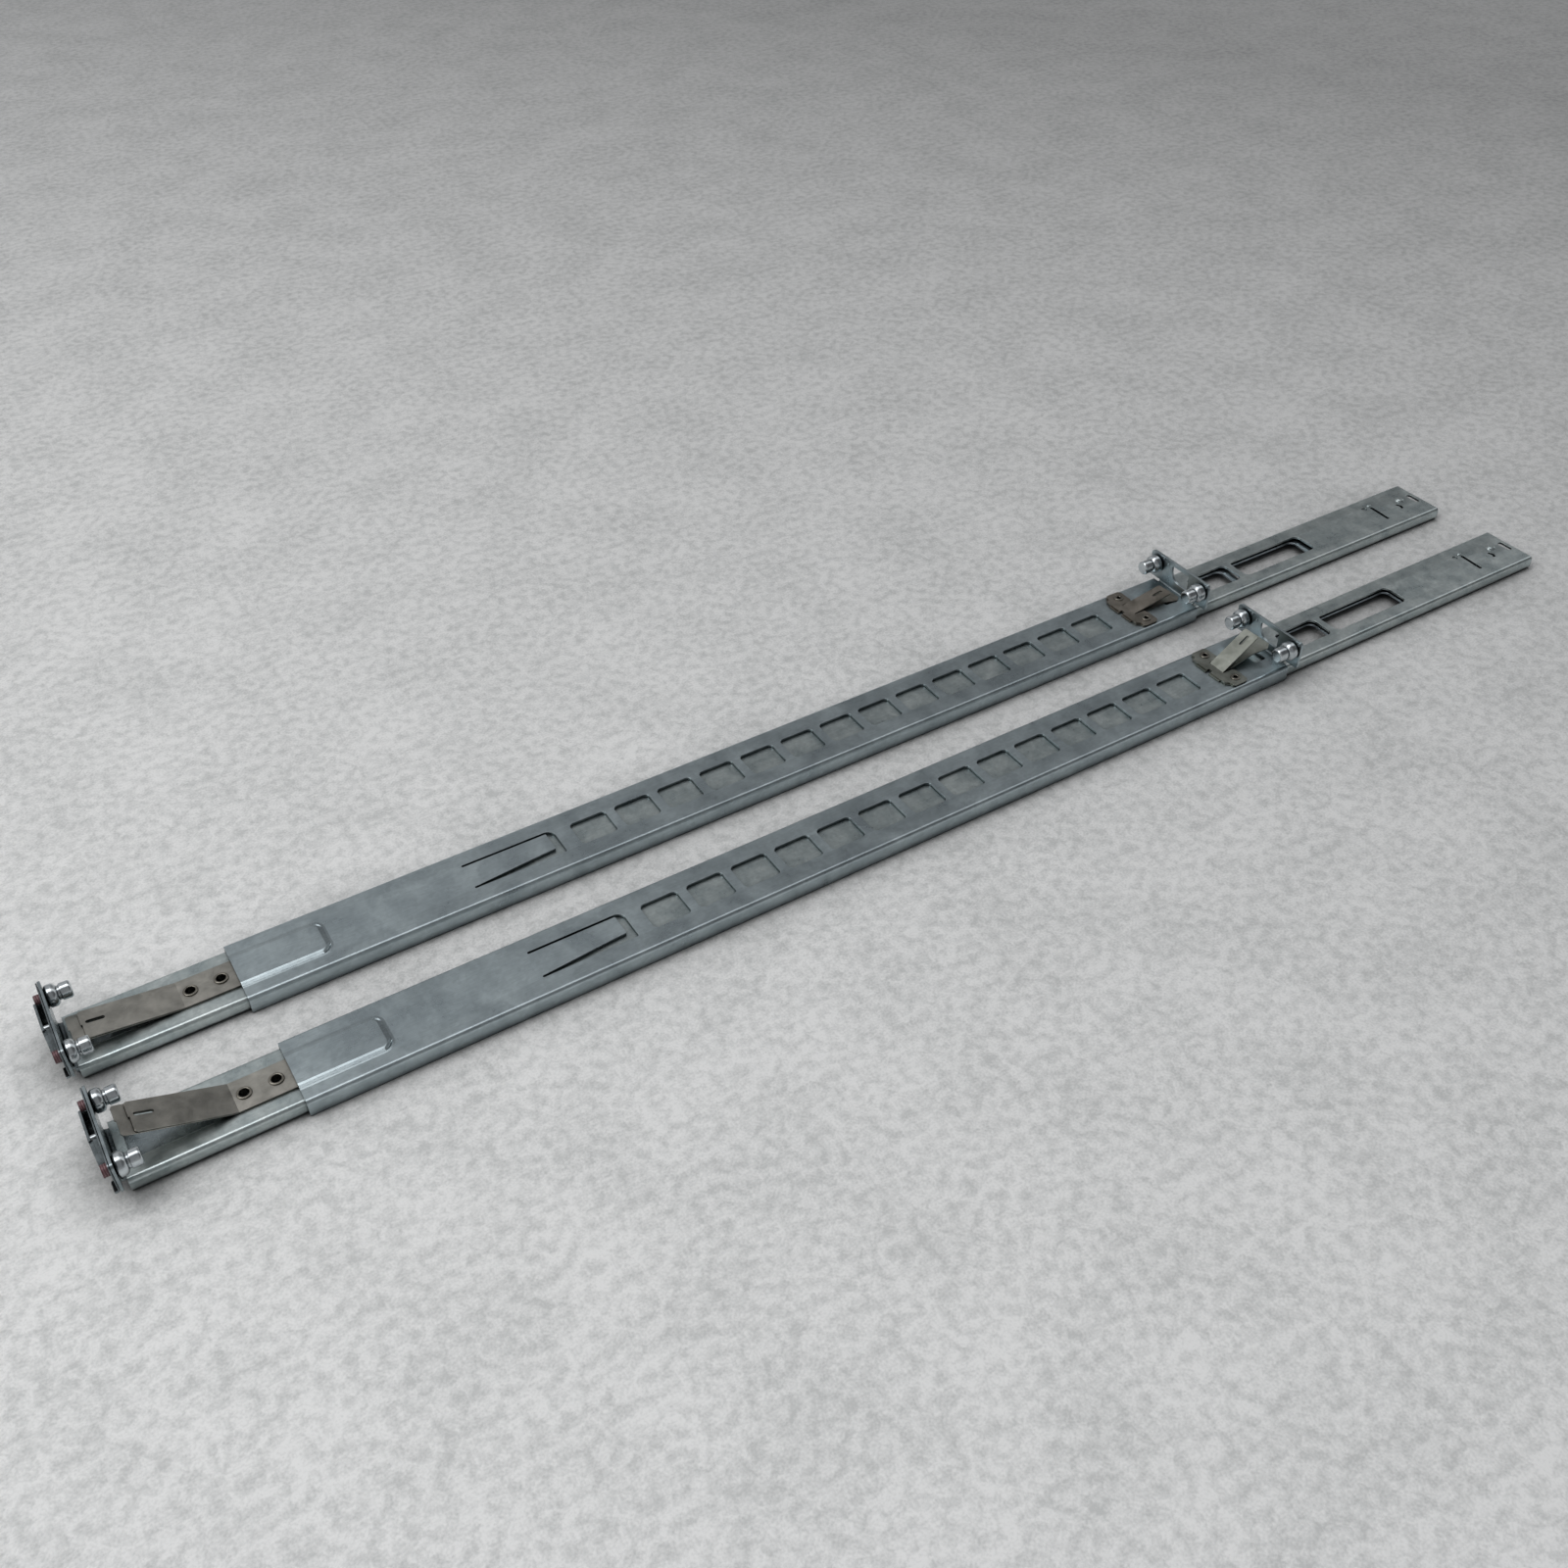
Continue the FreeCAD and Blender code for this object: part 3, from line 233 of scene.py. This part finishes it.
# a rough coat in two tones: noise mixes them and raises the surface by height mm
def blottedCoat(name, look):
    material, tree, place, output = newMaterial(name)
    dabs = addNode(tree, "ShaderNodeTexNoise", [("Vector", place, "Object")],
                   Scale=1 / (look["blot"] * mm), Detail=look["detail"])
    toned = addNode(tree, "ShaderNodeMix", [("Factor", dabs, "Fac")], data_type="RGBA")
    toned.inputs[mixDark].default_value = linear(look["dark"])
    toned.inputs[mixLight].default_value = linear(look["light"])
    bump = addNode(tree, "ShaderNodeBump", [("Height", dabs, "Fac")], Strength=look["bump"],
                   Distance=look["height"] * mm)
    shader = addNode(tree, "ShaderNodeBsdfPrincipled",
                     [("Base Color", toned, mixColour), ("Normal", bump, "Normal")],
                     Roughness=look["rough"], Metallic=look["metal"])
    tree.links.new(shader.outputs[0], output.inputs["Surface"])
    return material


# moulded rubber: near black and dull, with a faint grain
rubberLook = {"dark": "#161616", "light": "#272727", "blot": 1.11, "detail": 4.0, "bump": 0.3,
              "height": 0.1, "rough": 0.75, "metal": 0.0}
rubber = blottedCoat("mouldedRubber", rubberLook)
print("materials made")

finishes = {"outer_member": zincMember, "intermediate_member": zincInner, "ball_cage": cageSteel,
            "bearing_balls": ballSteel, "rear_bumper": rubber, "front_bracket": zincBracket,
            "front_catch_plate": zincCatch, "front_catch_pin": brightZinc,
            "front_studs": brightZinc, "rear_studs": brightZinc,
            "front_latch_eyelets": rivetSteel, "rear_latch_rivets": rivetSteel}
# the left rail's rear latch is browner than the right one's, which has an olive cast
oddFinishes = {side + "_sleeve": zincSleeves[side] for side in sides}
for name in ("lower_plate", "upper_plate", "top_leaf", "lower_leaf"):
    oddFinishes["left_rear_latch_" + name] = brownSpring
    oddFinishes["right_rear_latch_" + name] = greenSpring
for side in sides:
    for name, item in nodes.items():
        if name.startswith(side + "_"):
            finish = oddFinishes.get(name) or finishes.get(name[len(side) + 1:], springSteel)
            item.data.materials.clear()
            item.data.materials.append(finish)
print("finishes given to the frame")


# a mesh object from points and faces, on a body and with a finish slot
def addPiece(name, points, faces, material, body):
    mesh = bpy.data.meshes.new(name)
    mesh.from_pydata(points.tolist(), [], faces)
    mesh.update()
    mesh.materials.append(material)
    piece = bpy.data.objects.new(name, mesh)
    bpy.context.collection.objects.link(piece)
    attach(piece, body)
    return piece


# dry threadlock on zinc: dull purple-red dabs, half metallic where the thread shows through
threadlockLook = {"dark": "#4e3238", "light": "#8a6a6c", "blot": 1.2, "detail": 5.0, "bump": 0.5,
                  "height": 0.1, "rough": 0.42, "metal": 0.35}
threadlock = blottedCoat("threadlockedZinc", threadlockLook)
# the threaded tails of the front studs. The radius is the root radius plus a triangle wave of (distance
# along the stud over the pitch, less the turn over a full turn). Lengths in mm.
tailLook = {"front": -4.25, "rear": -1.7, "root": 2.31, "crest": 2.47, "pitch": 0.8, "inner": 2.1,
            "spacing": 31.75, "level": 17.3, "around": 40, "rings": 52}


def threadedTail(name, railX, centreY):
    around, rings, level = tailLook["around"], tailLook["rings"], tailLook["level"]
    along = np.linspace(tailLook["rear"], tailLook["front"], rings)
    turn = np.linspace(0, 2 * np.pi, around, endpoint=False)
    phase = (along[:, None] / tailLook["pitch"] - turn[None, :] / (2 * np.pi)) % 1
    wave = 1 - np.abs(2 * phase - 1)
    radius = tailLook["root"] + (tailLook["crest"] - tailLook["root"]) * wave
    radius[[0, -1]] = tailLook["inner"]
    x = np.broadcast_to(along[:, None], radius.shape).copy()
    x[-1] = x[-2]
    y = centreY + radius * np.cos(turn)[None, :]
    z = level + radius * np.sin(turn)[None, :]
    skin = np.stack([railX + x, y, z], axis=-1).reshape(-1, 3)
    caps = np.array([[railX + x[0, 0], centreY, level], [railX + x[-1, 0], centreY, level]])
    here, there = np.arange(around), (np.arange(around) + 1) % around
    starts = np.arange(rings - 1)[:, None] * around
    first, after = (starts + here).ravel(), (starts + there).ravel()
    faces = np.stack([first, after, after + around, first + around], axis=1).tolist()
    last, rearCap, frontCap = (rings - 1) * around, rings * around, rings * around + 1
    faces += np.stack([there, here, np.full(around, rearCap)], axis=1).tolist()
    faces += np.stack([last + here, last + there, np.full(around, frontCap)], axis=1).tolist()
    points = np.concatenate([skin, caps]) * mm
    addPiece(name, points, faces, threadlock, "rail_frames")


for side in sides:
    railX, railY = railPlaces[side]
    for label, shift in (("far", 0.5), ("near", -0.5)):
        threadedTail(side + "_front_stud_thread_" + label, railX, railY + shift * tailLook["spacing"])
print("stud threads made")


# the bottom of the catch pocket: a thin dished sheet between the hook and the bracket. Its height is a
# level less a dish of (1 - u squared) times (1 - v squared), where u and v run from -1 to 1 over the
# sheet, and it turns up at its left end with the square of how far v is past "bend". Lengths in mm.
pocketLook = {"front": -4.5, "rear": -1.2, "right": 1.4, "left": 13.2, "level": 12.3, "dish": 0.35,
              "gauge": 0.4, "upturn": 5.4, "bend": 0.3, "rows": 9, "columns": 17}


def pocketFloor(name, railX, railY):
    rows, columns, bend = pocketLook["rows"], pocketLook["columns"], pocketLook["bend"]
    front, rear = pocketLook["front"], pocketLook["rear"]
    right, left = pocketLook["right"], pocketLook["left"]
    u, v = np.meshgrid(np.linspace(-1, 1, rows), np.linspace(-1, 1, columns), indexing="ij")
    x = railX + (front + rear) / 2 + u * (rear - front) / 2
    y = railY + (right + left) / 2 + v * (left - right) / 2
    z = pocketLook["level"] - pocketLook["dish"] * (1 - u ** 2) * (1 - v ** 2)
    z = z + pocketLook["upturn"] * (np.clip(v - bend, 0, None) / (1 - bend)) ** 2
    points = np.stack([x, y, z], axis=-1).reshape(-1, 3) * mm
    first = (np.arange(rows - 1)[:, None] * columns + np.arange(columns - 1)[None, :]).ravel()
    faces = np.stack([first, first + columns, first + columns + 1, first + 1], axis=1).tolist()
    sheet = addPiece(name, points, faces, zincCatch, "rail_frames")
    solid = sheet.modifiers.new("gauge", "SOLIDIFY")
    solid.thickness = pocketLook["gauge"] * mm


for side in sides:
    pocketFloor(side + "_front_catch_pocket_floor", *railPlaces[side])
print("catch pocket floors made")

# floor: pale felt paper, which looks matt and softly dappled, with soft darker blots, broad clouds and a
# fine fibre grain (cloud, blot and fibre are their sizes in mm). Painted light falloff makes it darker
# along "far", over farSpan in metres, and painted contact shadow darkens it right beside the rails,
# within "contact" mm.
floorLook = {"size": 12, "pale": "#f2f3f2", "blotted": "#cdcfce", "cloud": 45.0, "blot": 5.0,
             "fibre": 1.0, "noiseSpan": (0.3, 0.7), "blotSpan": (0.30, 0.60), "blotShare": (0.10, 0.85),
             "cloudShare": 0.20, "fibreShare": 0.34, "far": (0.85, 0.5, 0.0), "farSpan": (-0.38, 1.08),
             "near": 1.08, "shadedFar": 0.47, "contact": 24.0, "contactSpan": (0.20, 0.95),
             "contactShade": 0.12, "rough": 0.95, "bump": 0.4, "height": 0.3}
bpy.ops.mesh.primitive_plane_add(size=floorLook["size"], location=(0, 0, 0))
floor = bpy.context.object
floor.name = "floor"
floorPaper, tree, place, output = newMaterial("paleFeltFloor")
onFloor = ("Vector", place, "Object")
clouds = addNode(tree, "ShaderNodeTexNoise", [onFloor], Scale=1 / (floorLook["cloud"] * mm),
                 Detail=3.0)
blots = addNode(tree, "ShaderNodeTexNoise", [onFloor], Scale=1 / (floorLook["blot"] * mm),
                Detail=3.0, Roughness=0.55, Distortion=0.3)
fibres = addNode(tree, "ShaderNodeTexNoise", [onFloor], Scale=1 / (floorLook["fibre"] * mm),
                 Detail=4.0)
low, high = floorLook["noiseSpan"]
cloudLevel = addNode(tree, "ShaderNodeMapRange", [("Value", clouds, "Fac")], From_Min=low,
                     From_Max=high, To_Min=-floorLook["cloudShare"], To_Max=floorLook["cloudShare"])
fibreLevel = addNode(tree, "ShaderNodeMapRange", [("Value", fibres, "Fac")], From_Min=low,
                     From_Max=high, To_Min=-floorLook["fibreShare"], To_Max=floorLook["fibreShare"])
blotLevel = addNode(tree, "ShaderNodeMapRange", [("Value", blots, "Fac")],
                    From_Min=floorLook["blotSpan"][0], From_Max=floorLook["blotSpan"][1],
                    To_Min=floorLook["blotShare"][0], To_Max=floorLook["blotShare"][1])
both = addNode(tree, "ShaderNodeMath", operation="ADD",
               links=[(0, cloudLevel, "Result"), (1, blotLevel, "Result")])
total = addNode(tree, "ShaderNodeMath", operation="ADD", use_clamp=True,
                links=[(0, both, 0), (1, fibreLevel, "Result")])
floorMix = addNode(tree, "ShaderNodeMix", [("Factor", total, 0)], data_type="RGBA")
floorMix.inputs[mixDark].default_value = linear(floorLook["blotted"])
floorMix.inputs[mixLight].default_value = linear(floorLook["pale"])
# painted light falloff: the floor's colour is darkened along "far", from near to shadedFar
far = addNode(tree, "ShaderNodeVectorMath", [(0, place, "Object")], operation="DOT_PRODUCT")
far.inputs[1].default_value = floorLook["far"]
paintedFalloff = addNode(tree, "ShaderNodeMapRange", [("Value", far, "Value")],
                   From_Min=floorLook["farSpan"][0], From_Max=floorLook["farSpan"][1],
                   To_Min=floorLook["near"], To_Max=floorLook["shadedFar"])
# painted contact shadow: ambient occlusion darkens the floor's colour beside and under the rails, down
# to contactShade
contact = addNode(tree, "ShaderNodeAmbientOcclusion", Distance=floorLook["contact"] * mm, samples=4)
contactLevel = addNode(tree, "ShaderNodeMapRange", [("Value", contact, "AO")],
                       From_Min=floorLook["contactSpan"][0], From_Max=floorLook["contactSpan"][1],
                       To_Min=floorLook["contactShade"], To_Max=1.0)
shaded = addNode(tree, "ShaderNodeMath", operation="MULTIPLY",
                 links=[(0, paintedFalloff, "Result"), (1, contactLevel, "Result")])
floorTone = addNode(tree, "ShaderNodeVectorMath", operation="SCALE",
                    links=[(0, floorMix, mixColour), ("Scale", shaded, 0)])
floorBump = addNode(tree, "ShaderNodeBump", [("Height", fibres, "Fac")],
                    Strength=floorLook["bump"], Distance=floorLook["height"] * mm)
floorShader = addNode(tree, "ShaderNodeBsdfPrincipled",
                      [("Base Color", floorTone, 0), ("Normal", floorBump, "Normal")],
                      Roughness=floorLook["rough"])
tree.links.new(floorShader.outputs[0], output.inputs["Surface"])
floor.data.materials.append(floorPaper)

# a large soft panel lamp, left of the rails and above them, a little warm. Places in metres, power in W.
panelLook = {"place": (-0.75, 0.3, 1.15), "aim": (-0.3, 0, 0), "width": 0.8, "height": 0.8,
             "power": 3.2, "tint": (1.0, 0.99, 0.975)}
lamp = bpy.data.lights.new("leftPanel", "AREA")
lamp.shape = "RECTANGLE"
lamp.size = panelLook["width"]
lamp.size_y = panelLook["height"]
lamp.energy = panelLook["power"]
lamp.color = panelLook["tint"]
leftPanel = bpy.data.objects.new("leftPanel", lamp)
leftPanel.location = panelLook["place"]
facing = Vector(panelLook["aim"]) - Vector(panelLook["place"])
leftPanel.rotation_euler = facing.to_track_quat("-Z", "Y").to_euler()
bpy.context.collection.objects.link(leftPanel)

# room light by direction: a long bright ceiling strip above the rails, mid grey on the far side and a
# dark near side. Brightness is a ramp over the direction's y, times a fall over its x, over "bend", from
# the left to the right. Low down it turns into one plain grey wall, over "wall" of the direction's z.
roomLook = {"ramp": ((0.0, 0.14), (0.42, 0.12), (0.50, 0.92), (0.64, 0.92), (0.72, 0.235),
                     (0.85, 0.25), (1.0, 0.25)), "blue": 1.02,
            "bend": (0.05, 0.40), "left": 1.20, "right": 0.56, "strength": 1.6,
            "wall": (0.14, 0.34), "wallLevel": 0.26}
world = bpy.data.worlds.new("softRoom")
bpy.context.scene.world = world
world.use_nodes = True
tree = world.node_tree
direction = addNode(tree, "ShaderNodeTexCoord")
axes = addNode(tree, "ShaderNodeSeparateXYZ", [("Vector", direction, "Generated")])
across = addNode(tree, "ShaderNodeMapRange", [("Value", axes, "Y")], From_Min=-1.0, From_Max=1.0)
strip = addNode(tree, "ShaderNodeValToRGB", [("Fac", across, "Result")])
strip.color_ramp.interpolation = "EASE"
for index, (spot, level) in enumerate(roomLook["ramp"]):
    if index > 1:
        strip.color_ramp.elements.new(spot)
    strip.color_ramp.elements[index].position = spot
    strip.color_ramp.elements[index].color = (level, level, level * roomLook["blue"], 1)
along = addNode(tree, "ShaderNodeMapRange", [("Value", axes, "X")],
                From_Min=roomLook["bend"][0], From_Max=roomLook["bend"][1],
                To_Min=roomLook["left"], To_Max=roomLook["right"])
room = addNode(tree, "ShaderNodeVectorMath", operation="SCALE",
               links=[(0, strip, "Color"), ("Scale", along, "Result")])
rise = addNode(tree, "ShaderNodeMapRange", [("Value", axes, "Z")],
               From_Min=roomLook["wall"][0], From_Max=roomLook["wall"][1])
whole = addNode(tree, "ShaderNodeMix", [("Factor", rise, "Result"), (mixLight, room, 0)],
                data_type="RGBA")
whole.inputs[mixDark].default_value = (*[roomLook["wallLevel"]] * 3, 1)
background = tree.nodes["Background"]
tree.links.new(whole.outputs[mixColour], background.inputs["Color"])
background.inputs["Strength"].default_value = roomLook["strength"]
print("stage and lamps set")

# camera: 41 degrees above the floor, seen from the front left, with a 36 mm lens on a 36 mm sensor.
# Its place is in mm.
cameraLook = {"lens": 36.31, "sensor": 36, "azimuth": 31.05, "elevation": 40.82, "roll": -0.977,
              "place": (-332.1, -443.2, 465.1), "nearest": 10}
cameraData = bpy.data.cameras.new("camera")
cameraData.lens = cameraLook["lens"]
cameraData.sensor_width = cameraLook["sensor"]
cameraData.clip_start = cameraLook["nearest"] * mm
camera = bpy.data.objects.new("camera", cameraData)
camera.location = Vector(cameraLook["place"]) * mm
pitch, yaw = math.radians(90 - cameraLook["elevation"]), -math.radians(cameraLook["azimuth"])
turned = Euler((pitch, 0, yaw), "XYZ").to_matrix()
rolled = Euler((0, 0, math.radians(cameraLook["roll"])), "XYZ").to_matrix()
camera.rotation_euler = (turned @ rolled).to_euler()
bpy.context.collection.objects.link(camera)
bpy.context.scene.camera = camera
bpy.context.scene.view_settings.view_transform = "Standard"
print("camera placed")
